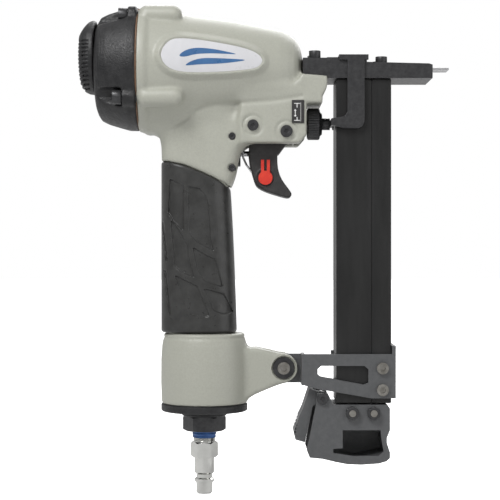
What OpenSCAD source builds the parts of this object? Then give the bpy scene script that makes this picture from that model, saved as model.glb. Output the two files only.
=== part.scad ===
// Pneumatic flooring nailer that drives crown staples.
// +X is the driving direction, +Z points from the handle's base up to the barrel, +Y is across.
// The origin is on the driver's axis, in the plane of the nose's work face. Millimetres.

/* [Drive] */
// Stroke of the piston and driver blade
stroke = 54; // [40:1:54]
// Inside radius of the cylinder liner
liner_r = 18; // [16:0.5:18]
// Wall of the cylinder liner
liner_wall = 2.5; // [2:0.1:2.5]
// Width of the driver blade across the staple's crown
blade_w = 12.6; // [9:0.1:12.6]
// Thickness of the driver blade
blade_t = 1.5; // [1:0.1:1.5]

/* [Barrel and head] */
// Radius of the barrel's rear flange and of the head cap
flange_r = 36; // [35:0.5:37]
// Radius of the circle that the head cap screws stand on
cap_bolt_r = 34; // [33.5:0.25:34.5]
// Radius of the exhaust cover
exhaust_r = 21.8; // [20:0.2:22]
// Height of the exhaust cover's axis above the driver's axis
exhaust_z = 7; // [6:0.5:8]

/* [Nose and contact arm] */
// Half of the nose's width
nose_half = 17; // [16.5:0.25:17]
// How far the contact tip stands out past the nose
tip_reach = 10.9; // [8:0.1:12]
// Radius of the depth wheel
wheel_r = 9.3; // [8:0.1:9.3]

/* [Trigger] */
// Half of the trigger's width
trigger_half = 9; // [8.5:0.1:9]
// Radius of the mode selector's disc
selector_r = 4.1; // [3.8:0.1:4.4]

/* [Handle and base] */
// Half of the rubber grip's thickness
grip_half = 19; // [18:0.5:20]
// Radius of the round base
base_r = 25; // [24:0.5:25.3]
// Radius of the textured end cap
end_cap_r = 25.4; // [25.3:0.1:27]
// Across the flats of the hexagon bushing
bushing_af = 22; // [20:0.5:24]
// Across the flats of the air plug
plug_af = 14; // [14:0.5:17]

/* [Magazine] */
// Height of the magazine channel's lower end
magazine_foot = -195; // [-200:1:-190]
// Half of the magazine's width
magazine_half = 15; // [14.5:0.1:15]

/* [Hidden] */
$fn = 48;

// Slack between pieces that fit into each other without moving
fit = 0.02;
// Radial clearance of a shaft or a slide in its bore
run = 0.05;

// Stations along the driver's axis
gasket_back = -171;
gasket_front = -170;
liner_back = -167;
liner_front = -87;
bumper_back = -99;
body_front = -75;
blade_z = -1.8;
liner_out = liner_r + liner_wall;
piston_front = liner_front - 12 - stroke - 1;
piston_len = 10;
blade_len = 100;

// Head cap: bore that the head valve slides in, hollow post that it slides on
valve_bore_r = 26.1;
post_r = 11.9;
valve_room_back = -182.5;
spring_room_back = -187;
cap_back = -195.4;
exhaust_back = -205.7;
exhaust_face = -196;
cap_screw_angles = [60, 120, -34, 214];
cap_screw_seats = [-176.5, -176.5, -179, -179];
cap_screw_r = 2.5;
cap_head_r = 4.2;

// Places of the pins in the housing, as [x, z]
pivot_at = [-84.6, -37.8];
guide_at = [-103.9, -34.3];
valve_pins_at = [[-115.9, -40.4], [-115.9, -58.6]];
selector_at = [-96.6, -64.1];
valve_z = -49.5;
valve_r = 7.5;
pivot_r = 1.8;
guide_pin_r = 1.6;
valve_pin_r = 2;
stem_r = 1.6;

// Safety
safety_z = -32;
rod_r = 2.2;
stem_out = 3.5;

// Housing block around the trigger
block_half = 20.5;
block_foot = -44.4;
slot_half = trigger_half + 0.4;
selector_slack = 0.1;

// Handle core and its air passage
handle_half = 14.5;
handle_x = [-153, -119];
grip_foot = -154.3;

// Round base, arm and its boss
base_x = -132.5;
base_foot = -195.9;
arm_half = 9;
boss_at = [-85.9, -175.2];
boss_r = 8.2;
clevis_half = 4.4;
bolt_r = 2.5;

// Air inlet
cap_foot = -200.6;
neck_r = 13.2;
neck_foot = -203.6;
bushing_foot = -212.4;
thread_r = 6.58;
plug_hex_top = -219;
plug_hex_foot = -228;
plug_tip = -249.3;
plug_r = 5.9;
air_r = 3.6;

// Nose
nose_foot = -6.8;
plate_foot = -0.9;
channel_top = plate_foot;
channel_foot = blade_z - blade_t / 2 - 0.15;
plate_step = -38;
nose_screws_at = [[-67.9, 5, 4.6], [-29.2, 2.35, 3.8]];
nose_screw_y = 11;
nose_screw_r = 2;
nose_head_r = 3.4;

// Magazine
mag_x = [-55.6, -23.8];
seam_x = [-35.2, -33.8];
feed_x = [-54, -25.4];
feed_half = 6.8;
rail_half = 4.7;
rail_x = [-51, -27.5];
bracket_in = magazine_half + 0.3;
bracket_out = bracket_in + 2;
bracket_x = [-74, -21.3];
bracket_top = -166.4;
bracket_far_top = -169.4;
bracket_foot = -192;
bracket_screws_z = [-174.5, -187];

// Cage at the magazine's end
cage_half = 15.5;
cage_in = 13;
cage_bolts_at = [[-46.4, -200.6], [-34, -200.6]];
latch_at = [-63.6, -192.3];

paint = [0.53, 0.53, 0.46];
black = [0.1, 0.1, 0.1];
rubber = [0.07, 0.07, 0.07];
steel = [0.62, 0.63, 0.65];
dark_steel = [0.2, 0.2, 0.21];
red = [0.75, 0.1, 0.08];

// A box given by its lowest and highest values along each axis
module slab(x, y, z) {
    translate([x[0], y[0], z[0]]) cube([x[1] - x[0], y[1] - y[0], z[1] - z[0]]);
}

// A box that is centred across Y
module bar(x, half, z) {
    slab(x, [-half, half], z);
}

// A cylinder along X, Y or Z between two stations
module rod_x(x, r, y = 0, z = 0) {
    translate([x[0], y, z]) rotate([0, 90, 0]) cylinder(r = r, h = x[1] - x[0]);
}
module rod_y(y, r, at) {
    translate([at[0], y[0], at[1]]) rotate([-90, 0, 0]) cylinder(r = r, h = y[1] - y[0]);
}
module rod_z(z, r, x, y = 0) {
    translate([x, y, z[0]]) cylinder(r = r, h = z[1] - z[0]);
}

// A profile of [radius, x] turned about the X axis at height z
module turned(z = 0) {
    translate([0, 0, z]) rotate([0, 90, 0]) rotate_extrude($fn = 96) children();
}

// An outline drawn in [x, z] and carried across Y
module across(y) {
    translate([0, y[1], 0]) rotate([90, 0, 0]) linear_extrude(y[1] - y[0]) children();
}

// A flat rectangle with round corners, from two corners in the plane
module rounded(x, half, r) {
    translate([x[0] + r, -half]) square([x[1] - x[0] - 2 * r, 2 * half]);
    translate([x[0], -half + r]) square([x[1] - x[0], 2 * half - 2 * r]);
    for (cx = [x[0] + r, x[1] - r]) {
        for (cy = [-half + r, half - r]) {
            translate([cx, cy]) circle(r);
        }
    }
}

// A hexagon socket screw with its seat at z = 0, head upward and shank downward
module cap_screw(shank_r, shank, head_r, head) {
    difference() {
        union() {
            cylinder(r = head_r, h = head);
            translate([0, 0, -shank]) cylinder(r = shank_r, h = shank);
        }
        translate([0, 0, head * 0.45]) cylinder(r = head_r * 0.55, h = head, $fn = 6);
    }
}

// A ring of round section about the X axis
module seal_ring(x, r, section) {
    turned() translate([r, x]) circle(section, $fn = 24);
}

// Places children on the head cap's bolt circle, at the given angle
module on_bolt_circle(angle) {
    translate([0, cap_bolt_r * cos(angle), cap_bolt_r * sin(angle)]) children();
}

// A helical spring of round wire that stands along +Z from 0 to length
module coil(r, wire, length, turns, sides = 8, steps_per_turn = 14) {
    steps = ceil(turns * steps_per_turn);
    rise = length - 2 * wire;
    points = [for (i = [0:steps])
        let (a = 360 * turns * i / steps, z = wire + rise * i / steps)
            for (j = [0:sides - 1])
                let (b = 360 * j / sides, reach = r + wire * cos(b))
                    [reach * cos(a), reach * sin(a), z + wire * sin(b)]];
    tube(points, sides, steps);
}

// A bent wire that lies in the plane of X and Z, swept along its own points
module bent_wire(route, y, wire, sides = 8) {
    last = len(route) - 1;
    points = [for (i = [0:last])
        let (from = route[max(i - 1, 0)], to = route[min(i + 1, last)],
            along = (to - from) / norm(to - from))
            for (j = [0:sides - 1])
                let (b = 360 * j / sides)
                    [route[i][0] - along[1] * wire * cos(b), y - wire * sin(b),
                        route[i][1] + along[0] * wire * cos(b)]];
    tube(points, sides, last);
}

// Skin of a swept tube: rings of points in order, closed by a flat end at each side
module tube(points, sides, steps) {
    skin = [for (i = [0:steps - 1])
        for (j = [0:sides - 1])
            let (a = i * sides + j, b = i * sides + (j + 1) % sides)
                each [[a, b, b + sides], [a, b + sides, a + sides]]];
    ends = [[for (j = [sides - 1:-1:0]) j], [for (j = [0:sides - 1]) steps * sides + j]];
    polyhedron(points = points, faces = concat(skin, ends), convexity = 10);
}

// Outline of the barrel as [radius, x], grown outward by a skin
module barrel_profile(skin) {
    polygon([[0, gasket_front], [flange_r + skin, gasket_front], [flange_r + skin, -166],
        [34.3 + skin, -164], [33 + skin, -145], [30 + skin, -129], [28 + skin, -114.5],
        [25.3 + skin, -100], [23 + skin, -88], [21 + skin, -83.5], [18.8 + skin, -80],
        [15.2, -77.2], [11.8, -75.5], [8, body_front], [0, body_front]]);
}

// One die casting: barrel, trigger housing, handle core, round base and the magazine's arm
module body_housing() {
    color(paint) difference() {
        union() {
            turned() barrel_profile(0);
            for (angle = cap_screw_angles) {
                on_bolt_circle(angle) rod_x([gasket_front, -162], 5.2);
            }
            across([-block_half, block_half]) polygon([[-111, -14], [-111, block_foot],
                [-77, block_foot], [-72.9, -39.8], [-72.9, -21.3], [-63.9, -21.3],
                [-61.5, -13], [-60.9, -5.7], [body_front, -5.7], [-80, -14]]);
            across([-16, 16]) polygon([[-164.6, -24], [-164.6, -36.4], [-159.3, -39.2],
                [-156.9, -44.8], [-156.9, -56], [-118, -71], [-114.6, -65], [-112, -54],
                [-110, -44], [-110, -24]]);
            translate([0, 0, grip_foot - 1]) linear_extrude(110)
                rounded(handle_x, handle_half, 9);
            rod_z([base_foot, grip_foot - 0.6], base_r, base_x);
            across([-arm_half, arm_half]) polygon([[-122, -157], [-105.6, -163.9],
                [boss_at[0], boss_at[1] + boss_r], [boss_at[0] + 3, boss_at[1] - 7.6],
                [-93.8, -187.3], [-105, -192.8], [-122, -194.5]]);
            rod_y([-arm_half, arm_half], boss_r, boss_at);
        }
        // Bore for the liner and the air room around it
        turned() polygon([[0, -171], [31, -171], [31, -166], [29, -145], [26, -129],
            [24, -114.5], [liner_out + fit, -104], [liner_out + fit, liner_front],
            [0, liner_front]]);
        bar([-88, -74], blade_w / 2 + 0.3, [channel_foot, channel_top]);
        for (angle = cap_screw_angles) {
            on_bolt_circle(angle) rod_x([-172, -160], cap_screw_r + fit);
        }
        // Air passage down the handle into the base
        bar([-149, -123], 10, [-190, -30]);
        bar([-146, -132], 8, [-31, -22]);
        rod_z([-200, -160], 20.5, base_x);
        // Slot for the trigger, pocket for the depth wheel, bores for the safety and valve
        bar([-108.5, -80.8], slot_half, [-46, -34]);
        bar([-103, -90], 4, [-36, -27.5]);
        rod_x([-79.6, -60], wheel_r + 0.5, z = safety_z);
        rod_x([-88, -79], 3.7, z = safety_z);
        rod_x([-92, -87], rod_r + run, z = safety_z);
        rod_x([-130, -109], valve_r + fit, z = valve_z);
        rod_y([-30, 30], pivot_r + fit, pivot_at);
        rod_y([-30, 30], guide_pin_r + fit, guide_at);
        for (at = valve_pins_at) {
            rod_y([-30, 30], valve_pin_r + fit, at);
        }
        // Clevis and bolt hole in the arm's boss
        bar([-96.5, -74], clevis_half, [-186, -165]);
        rod_y([-10, 10], bolt_r + fit, boss_at);
        rod_y([-10, -7], 6.9, boss_at);
        rod_y([6.4, 10], 6.4, boss_at);
    }
}

// Moulded rubber sleeve around the handle core
module grip_sleeve() {
    color(rubber) difference() {
        intersection() {
            translate([0, 0, grip_foot]) linear_extrude(110) rounded([-157.9, -113.2], grip_half, 15);
            across([-30, 30]) polygon([[-157.9, grip_foot], [-113.2, grip_foot], [-114.5, -120],
                [-116.5, -76], [-117.3, -70.6], [-120.4, -67.4], [-129.5, -62.6],
                [-140, -58.6], [-150, -55.4], [-156, -54.6], [-157.9, -56.5]]);
        }
        translate([0, 0, grip_foot - 1]) linear_extrude(120)
            rounded([handle_x[0] - fit, handle_x[1] + fit], handle_half + fit, 9);
        across([-16 - fit, 16 + fit]) polygon([[-160, -40], [-156.9 - fit, -44],
            [-156.9 - fit, -56 - fit], [-118, -71 - fit], [-110, -64], [-110, -40]]);
    }
}

// Cast cap that closes the barrel and guides the head valve
module head_cap() {
    color(black) difference() {
        union() {
            turned() polygon([[0, gasket_back], [flange_r, gasket_back], [36, -176.2],
                [34.3, -182.3], [32.5, -188.2], [31, -191.2], [28, -193.8], [24, cap_back],
                [0, cap_back]]);
            for (i = [0:3]) {
                on_bolt_circle(cap_screw_angles[i]) rod_x([cap_screw_seats[i], gasket_back], 5.2);
            }
        }
        turned() polygon([[post_r, -170], [valve_bore_r, -170], [valve_bore_r, valve_room_back],
            [22.5, valve_room_back], [22.5, spring_room_back], [14.5, spring_room_back],
            [14.5, valve_room_back], [post_r, valve_room_back]]);
        rod_x([-190, -170], 9.5);
        for (at = [[-5, -1.5], [5, -1.5], [0, -5.5]]) {
            rod_x([-200, -188], 2.4, at[0], at[1]);
        }
        rod_x([-200, -188], 2.5 + fit, z = exhaust_z);
        for (i = [0:3]) {
            on_bolt_circle(cap_screw_angles[i]) {
                rod_x([-200, -165], cap_screw_r + fit);
                rod_x([-200, cap_screw_seats[i]], 5.1);
            }
        }
    }
}

// Gasket between the head cap and the barrel
module head_gasket() {
    color([0.25, 0.17, 0.1]) difference() {
        rod_x([gasket_back, gasket_front], flange_r - 0.4);
        rod_x([-172, -169], 31);
        for (angle = cap_screw_angles) {
            on_bolt_circle(angle) rod_x([-172, -169], cap_screw_r + fit);
        }
    }
}

// Four cap screws that hold the head cap on
module head_cap_screws() {
    color(dark_steel) for (i = [0:3]) {
        on_bolt_circle(cap_screw_angles[i]) translate([cap_screw_seats[i], 0, 0])
            rotate([0, -90, 0]) cap_screw(cap_screw_r, -160.5 - cap_screw_seats[i], cap_head_r, 5);
    }
}

// Cylinder that the piston runs in
module cylinder_liner() {
    color(steel) difference() {
        rod_x([liner_back, liner_front - fit], liner_out);
        rod_x([-170, -80], liner_r);
        for (x = [-97, -91]) {
            difference() {
                rod_x([x - 0.75, x + 0.75], liner_out + 1);
                rod_x([x - 1, x + 1], liner_out - 1.2);
            }
        }
    }
}

// Two rings that seal the liner in its front seat
module liner_o_rings() {
    color(rubber) for (x = [-97, -91]) {
        seal_ring(x, liner_out - 0.58, 0.6);
    }
}

// Rubber bumper that stops the piston at the end of its stroke
module bumper() {
    color([0.2, 0.18, 0.12]) difference() {
        rod_x([bumper_back, liner_front - fit], liner_r - run);
        bar([-100, -86], blade_w / 2 + 0.4, [channel_foot - 0.2, channel_top + 0.2]);
    }
}

// Ring that opens the rear of the liner when the trigger valve vents it
module head_valve() {
    color([0.15, 0.15, 0.16]) turned() polygon([[post_r + run, -177],
        [post_r + run, liner_back - 0.3], [valve_bore_r - run, liner_back - 0.3],
        [valve_bore_r - run, -177], [22, -177], [22, -170.5], [15, -170.5], [15, -177]]);
}

// Spring that closes the head valve
module head_valve_spring() {
    color(steel) translate([spring_room_back, 0, 0]) rotate([0, 90, 0])
        coil(18.5, 0.8, -170.5 - spring_room_back, 4, steps_per_turn = 20);
}

// Ribbed cover that turns to send the exhaust air away from the user
module exhaust_cover() {
    color(black) difference() {
        turned(exhaust_z) polygon([[0, exhaust_face], [exhaust_r, exhaust_face],
            [exhaust_r, -199.5], [exhaust_r - 1.2, -202.6], [exhaust_r - 3.6, -204.8],
            [14, exhaust_back], [0, exhaust_back]]);
        difference() {
            rod_x([-203, -195], exhaust_r - 2.2, z = exhaust_z);
            rod_x([-204, -194], 6, z = exhaust_z);
        }
        rod_x([-207, -194], 2.5 + run, z = exhaust_z);
        rod_x([-207, -202.5], 5.2, z = exhaust_z);
        // Grooves between the ribs on the outer face, and the outlet in the rim
        for (i = [0:10]) {
            z = exhaust_z + (5 - i) * 2.2;
            bar([-207, -205], 13 - abs(i - 5) * 0.9, [z - 0.5, z + 0.5]);
        }
        slab([-202, -197.5], [-30, 0], [exhaust_z - 11, exhaust_z + 11]);
    }
}

// Screw that the exhaust cover turns on
module exhaust_screw() {
    color(dark_steel) translate([-202.5, 0, exhaust_z]) rotate([0, -90, 0]) cap_screw(2.5, 13, 4.6, 2.8);
}

// Piston of the driver
module piston() {
    color(steel) difference() {
        rod_x([piston_front - piston_len, piston_front], liner_r - run);
        difference() {
            rod_x([piston_front - 6.4, piston_front - 3.6], liner_r + 1);
            rod_x([piston_front - 7, piston_front - 3], liner_r - 2.6);
        }
        rod_x([piston_front - 11, piston_front - 8], 12);
    }
}

// Ring that seals the piston
module piston_o_ring() {
    color(rubber) seal_ring(piston_front - 5, liner_r - 1.3 - run, 1.25);
}

// Blade that drives the staple
module driver_blade() {
    color(steel) bar([piston_front, piston_front + blade_len], blade_w / 2,
        [blade_z - blade_t / 2, blade_z + blade_t / 2]);
}

// Lower half of the nose, which carries the blade's channel and feeds the staples in
module nose_body() {
    color(dark_steel) difference() {
        union() {
            bar([body_front, 0], nose_half, [-5.6, plate_foot]);
            bar([-60.6, 0], nose_half, [nose_foot, plate_foot]);
        }
        bar([-76, 1], blade_w / 2 + 0.2, [channel_foot, 0]);
        bar(feed_x, feed_half, [-8, -1]);
        for (at = nose_screws_at) {
            for (side = [-1, 1]) {
                rod_z([-8, 0], nose_screw_r + fit, at[0], side * nose_screw_y);
            }
        }
    }
}

// Upper half of the nose, with the groove that the contact tip slides in
module nose_front_plate() {
    color(dark_steel) difference() {
        across([-nose_half, nose_half]) polygon([[body_front, plate_foot], [0, plate_foot],
            [0, 1], [-2, 1.7], [plate_step, 2.6], [plate_step, 5], [body_front, 5]]);
        bar([-49.5, 1], 6.5, [-1, 0.75]);
        bar([-49.5, -36], 6.5, [0, 6]);
        for (at = nose_screws_at) {
            for (side = [-1, 1]) {
                rod_z([-2, 6], nose_screw_r + fit, at[0], side * nose_screw_y);
                rod_z([at[1], 6], nose_head_r + 0.3, at[0], side * nose_screw_y);
            }
        }
    }
}

// Four cap screws through the nose
module nose_screws() {
    color(dark_steel) for (at = nose_screws_at) {
        for (side = [-1, 1]) {
            translate([at[0], side * nose_screw_y, at[1]])
                cap_screw(nose_screw_r, at[1] + 5.4, nose_head_r, at[2]);
        }
    }
}

// Sheet arm that wraps over the nose and reaches down to the depth wheel
module contact_arm() {
    plate = [-nose_half - 1.9, -nose_half - 0.4];
    cap = [5.2, 6.7];
    color(black) union() {
        slab([-54.2, -37.2], [plate[0], nose_half], cap);
        slab([-54.2, -37.2], plate, [3.6, cap[1]]);
        bar([-60.5, -54], 6.8, cap);
        across(plate) polygon([[-49.4, 6], [-49.4, -26.6], [-51, -29], [-58.6, -30.2],
            [-58.6, -34], [-52, -35.8], [-43.4, -36], [-40.8, -34.8], [-39.5, -32], [-39.5, 6]]);
        slab([-58.6, -57.1], [plate[0], 3], [-34, -30.2]);
    }
}

// Strip that is pressed on the floor before the tool can drive
module contact_tip() {
    color(steel) union() {
        bar([-38.7, tip_reach], 6.2, [-0.75, 0.45]);
        bar([-38.7, -37.5], 6.2, [0, 5.2]);
    }
}

// Threaded stem that joins the contact arm to the depth wheel
module contact_stem() {
    color(dark_steel) difference() {
        union() {
            rod_x([-63.8, -58.6], stem_out, z = safety_z);
            rod_x([-57.1, -56.4], stem_out, z = safety_z);
        }
        rod_x([-64, -59.6], rod_r + 0.4, z = safety_z);
    }
}

// Knurled wheel that sets how far the contact arm stands out
module depth_wheel() {
    color(black) difference() {
        union() {
            rod_x([-72, -64.6], wheel_r, z = safety_z);
            turned(safety_z) polygon([[0, -64.6], [7.4, -64.6], [6.2, -63.2], [0, -63.2]]);
        }
        rod_x([-73, -60], rod_r + run, z = safety_z);
        rod_x([-68, -60], stem_out + 0.3, z = safety_z);
        for (i = [0:17]) {
            translate([0, 0, safety_z]) rotate([i * 20, 0, 0])
                rod_x([-73, -64.5], 0.6, z = wheel_r + 0.2);
        }
    }
}

// Rod and plate that carry the contact arm's motion to the trigger
module safety_yoke() {
    color(steel) union() {
        rod_x([-91.6, -63.2], rod_r, z = safety_z);
        rod_x([-73.4, -72.3], 3.4, z = safety_z);
        bar([-93.4, -91.6], 3.4, [-43.2, -28.8]);
    }
}

// Spring that pushes the safety out
module safety_spring() {
    color(steel) translate([-88, 0, safety_z]) rotate([0, 90, 0]) coil(3, 0.4, 14.6, 6);
}

// Small plate with the depth pictogram
module depth_plate() {
    color(black) slab([-81.6, -74.4], [-block_half - 0.8, -block_half], [-33.2, -19.8]);
}

// Curved plate on the barrel's side that carries a plain mark
module side_badge() {
    color("white") difference() {
        intersection() {
            across([-40, -10]) polygon([[-156.9, 5], [-149, 17.5], [-140, 18.5], [-121, 15.5],
                [-106, 10.5], [-98.2, 3], [-103, -4], [-118, -7], [-146, -6.5], [-154.5, -2]]);
            turned() barrel_profile(1);
        }
        turned() barrel_profile(0);
    }
}

// Pin across the housing with a round head and a hexagon socket on each side
module headed_pin(half, shank_r, head_r, head, at) {
    difference() {
        union() {
            rod_y([-half - 0.1, half + 0.1], shank_r, at);
            rod_y([-half - head, -half], head_r, at);
            rod_y([half, half + head], head_r, at);
        }
        for (y = [-half - head - 0.2, half + head - 0.8]) {
            translate([at[0], y, at[1]]) rotate([-90, 0, 0])
                cylinder(r = head_r * 0.42, h = 1, $fn = 6);
        }
    }
}
module guide_pin() {
    color(dark_steel) headed_pin(block_half, guide_pin_r, 3.2, 1.2, guide_at);
}

// Hollow trigger, open toward the handle, with two ears on the pivot pin
module trigger() {
    color(black) difference() {
        union() {
            across([-trigger_half, trigger_half]) polygon([[-88.7, -43.4], [-89.5, -55],
                [-88.4, -62], [-86.3, -66.1], [-81.7, -71.8], [-81.1, -73.6], [-82.2, -75.6],
                [-84.6, -75.6], [-95.6, -72.2], [-100.1, -70.1], [-102.2, -68.1],
                [-103.4, -64.4], [-106.5, -53.8], [-106, -44]]);
            across([-trigger_half, trigger_half]) polygon([[-106, -44.5], [-88.7, -44.5],
                [pivot_at[0] + 3, pivot_at[1] - 2], pivot_at + [0, 3.5], pivot_at + [-3, 2]]);
            rod_y([-trigger_half, trigger_half], 3.5, pivot_at);
        }
        across([-6.5, 6.5]) polygon([[-112, -30], [-78, -30], [-78, -45], [-91.6, -45.6],
            [-92, -57], [-90.9, -63], [-88.9, -67.5], [-96, -69.6], [-101, -67.2], [-112, -60]]);
        rod_y([-12, 12], pivot_r + run, pivot_at);
        rod_y([-12, 12], 2 + run, selector_at);
    }
}

// Pin that the trigger turns on
module trigger_pivot_pin() {
    color(dark_steel) headed_pin(block_half, pivot_r, 3.5, 1.6, pivot_at);
}

// Turning selector with two prongs on its disc, and the shaft that carries the lever
module mode_selector() {
    face = [-trigger_half - 1.4, -trigger_half - selector_slack];
    prong = [selector_at[1], selector_at[1] + 10.5];
    color(red) union() {
        rod_y(face, selector_r, selector_at);
        slab([selector_at[0] - 2.6, selector_at[0] - 0.8], face, prong);
        slab([selector_at[0] + 0.8, selector_at[0] + 2.6], face, prong);
        rod_y([-trigger_half - 0.5, trigger_half + 0.5], 2, selector_at);
        rod_y([trigger_half + selector_slack, trigger_half + 1.4], 3.4, selector_at);
    }
}

// Lever inside the trigger, between the safety's plate and the valve stem
module contact_lever() {
    color(steel) difference() {
        union() {
            across([-2.4, 2.4]) polygon([[-98.6, -62], [-101.4, -42.2], [-103.4, -42.2],
                [-104.1, -50], [-100.2, -65]]);
            rod_y([-2.4, 2.4], 3.6, selector_at);
        }
        rod_y([-3, 3], 2 + run, selector_at);
    }
}

// Wire that pushes the trigger back out
module trigger_spring() {
    color(steel) bent_wire([[-109.4, -44.4], [-110, -48], [-109.6, -52], [-107.6, -56.4],
        [-104.6, -60.4]], -4.6, 0.6);
}

// Turned housing of the trigger valve
module valve_bushing() {
    color([0.3, 0.3, 0.32]) difference() {
        rod_x([-127, -111.2], valve_r, z = valve_z);
        for (at = valve_pins_at) {
            rod_y([-20, 20], valve_pin_r + fit, at);
        }
        rod_x([-128, -110], stem_r + run, z = valve_z);
        rod_x([-128, -116], 3.6, z = valve_z);
    }
}

// Stem that the trigger presses to fire the tool
module valve_stem() {
    color(steel) difference() {
        union() {
            rod_x([-118, -106.2], stem_r, z = valve_z);
            rod_x([-120.2, -118], 3, z = valve_z);
        }
        difference() {
            rod_x([-114.7, -113.3], 3, z = valve_z);
            rod_x([-115, -113], stem_r - 0.6, z = valve_z);
        }
    }
}

// Spring behind the valve stem
module valve_spring() {
    color(steel) translate([-127, 0, valve_z]) rotate([0, 90, 0]) coil(2.3, 0.35, 6.7, 4, 6, 12);
}

// Ring that seals the valve stem
module valve_o_rings() {
    color(rubber) translate([0, 0, valve_z]) rotate([0, 90, 0]) rotate_extrude()
        translate([stem_r - 0.28, -114]) circle(0.3, $fn = 24);
}

// Two pins that hold the valve in the handle
module valve_pins() {
    color(steel) for (at = valve_pins_at) {
        difference() {
            rod_y([-18, 18], valve_pin_r, at);
            for (y = [-18.2, 17.4]) {
                translate([at[0], y, at[1]]) rotate([-90, 0, 0]) cylinder(r = 1, h = 0.8, $fn = 6);
            }
        }
    }
}

// Textured cap under the round base
module end_cap() {
    color(black) difference() {
        rod_z([cap_foot, base_foot - 0.6], end_cap_r, base_x);
        rod_z([-201, -195], neck_r - 2, base_x);
    }
}

// Seal between the base and its cap
module end_cap_gasket() {
    color(rubber) difference() {
        rod_z([base_foot - 0.6, base_foot], base_r - 0.6, base_x);
        rod_z([-197, -195], 20.5, base_x);
    }
}

// Hexagon bushing in the base's neck, with the air inlet's thread
module inlet_bushing() {
    color(dark_steel) difference() {
        union() {
            rod_z([cap_foot - 0.4, cap_foot + 4], neck_r - 2 - fit, base_x);
            rod_z([neck_foot, cap_foot], neck_r, base_x);
            translate([base_x, 0, bushing_foot]) cylinder(d = bushing_af / cos(30),
                h = neck_foot - bushing_foot, $fn = 6);
        }
        rod_z([-220, -190], thread_r + fit, base_x);
    }
}

// Sealant on the plug's thread
module thread_seal() {
    color([0.1, 0.25, 0.5]) difference() {
        rod_z([-216.4, bushing_foot], thread_r + 0.3, base_x);
        rod_z([-217, -212], thread_r, base_x);
    }
}

// Air plug with a hexagon and a quick-release nipple
module air_plug() {
    color([0.8, 0.8, 0.8]) difference() {
        union() {
            rod_z([plug_hex_top, cap_foot - 3], thread_r - 0.001, base_x);
            translate([base_x, 0, plug_hex_foot]) cylinder(d = plug_af / cos(30),
                h = plug_hex_top - plug_hex_foot, $fn = 6);
            rod_z([-237.4, plug_hex_foot], plug_r, base_x);
            rod_z([-240.4, -237.4], 4.7, base_x);
            rod_z([-242.4, -240.4], plug_r, base_x);
            rod_z([plug_tip, -242.4], 4.8, base_x);
        }
        rod_z([-250, -200], air_r, base_x);
    }
}

// One half of the magazine's box, with a channel for the staples and hollow sides
module magazine_channel(x, staples_x, hollow_x) {
    translate([0, 0, magazine_foot]) linear_extrude(nose_foot - 0.2 - magazine_foot) difference() {
        translate([x[0], -magazine_half]) square([x[1] - x[0], 2 * magazine_half]);
        translate([staples_x[0], -feed_half]) square([staples_x[1] - staples_x[0], 2 * feed_half]);
        for (side = [-1, 1]) {
            translate([hollow_x[0], side * 10.9 - 2.5]) square([hollow_x[1] - hollow_x[0], 5]);
        }
    }
}
module magazine_rear_channel() {
    color(black) magazine_channel([mag_x[0], seam_x[0]], [feed_x[0], -30], [-54, -37]);
}
module magazine_front_channel() {
    color(black) magazine_channel([seam_x[0], mag_x[1]], [-40, feed_x[1]], [-32, -25.4]);
}

// Channel-shaped rail that the staples straddle
module magazine_rail() {
    color(steel) difference() {
        bar(rail_x, rail_half, [magazine_foot - 1, -4]);
        bar([-52, rail_x[1] - 1.2], rail_half - 1.2, [magazine_foot - 2, -3]);
    }
}

// Pusher that runs on the rail behind the staples
module pusher() {
    color([0.7, 0.15, 0.1]) union() {
        bar([-53.6, -51.2], 6.3, [-32, -12]);
        bar([-51.2, -29.2], 3.3, [-28, -12]);
    }
}

// Long spring under the pusher
module pusher_spring() {
    color(steel) translate([-40, 0, magazine_foot - 1]) coil(2.5, 0.4,
        -28 - magazine_foot + 1, 24, 6, 12);
}

// Sheet bracket around the magazine that is bolted to the arm's boss
module magazine_bracket() {
    near = [-bracket_out - 1, 0];
    far = [0, bracket_out + 1];
    color(black) difference() {
        union() {
            for (side = [-1, 1]) {
                top = side > 0 ? bracket_far_top : bracket_top;
                across(side > 0 ? [bracket_in, bracket_out] : [-bracket_out, -bracket_in])
                    polygon([[bracket_x[0], top], [-57, top], [-57, bracket_top],
                        [bracket_x[1], bracket_top], [bracket_x[1], bracket_foot],
                        [-35, bracket_foot], [-50, -189.4], [-64, -187], [-74, -184.6]]);
                slab([-75.8, -73.8], side > 0 ? [2, bracket_out] : [-bracket_out, -2],
                    [-184.4, top]);
                difference() {
                    across(side > 0 ? [2, clevis_half - 0.1] : [-clevis_half + 0.1, -2])
                        polygon([[-74, top - 0.6], [-88, top - 0.6], [-93, -170.6], [-93, -180],
                            [-88, -184], [-74, -184]]);
                    rod_y([-12, 12], bolt_r + fit, boss_at);
                }
            }
            bar([-23.5, bracket_x[1]], bracket_out, [bracket_foot, -161.6]);
        }
        across(near) polygon([[-66.5, -178], [-66.5, -175], [-64.5, -173.2], [-39.4, -173.2],
            [-37.2, -175.2], [-37.2, -183], [-40, -184], [-52, -181.8], [-65, -179.2]]);
        across(far) polygon([[-66.5, -180.4], [-66.5, -175], [-64.5, -173.2], [-39.4, -173.2],
            [-37.2, -175.2], [-37.2, -184.4], [-40, -185.4], [-52, -184], [-65, -182]]);
        for (z = bracket_screws_z) {
            rod_y([-30, 30], 2 + fit, [-29, z]);
        }
    }
}

// Button-head screws that hold the bracket to the magazine
module bracket_screws() {
    color(dark_steel) for (side = [-1, 1]) {
        for (z = bracket_screws_z) {
            translate([-29, side * bracket_out, z]) rotate([side * -90, 0, 0])
                cap_screw(2, bracket_out - magazine_half, 3.4, 2.2);
        }
    }
}

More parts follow.
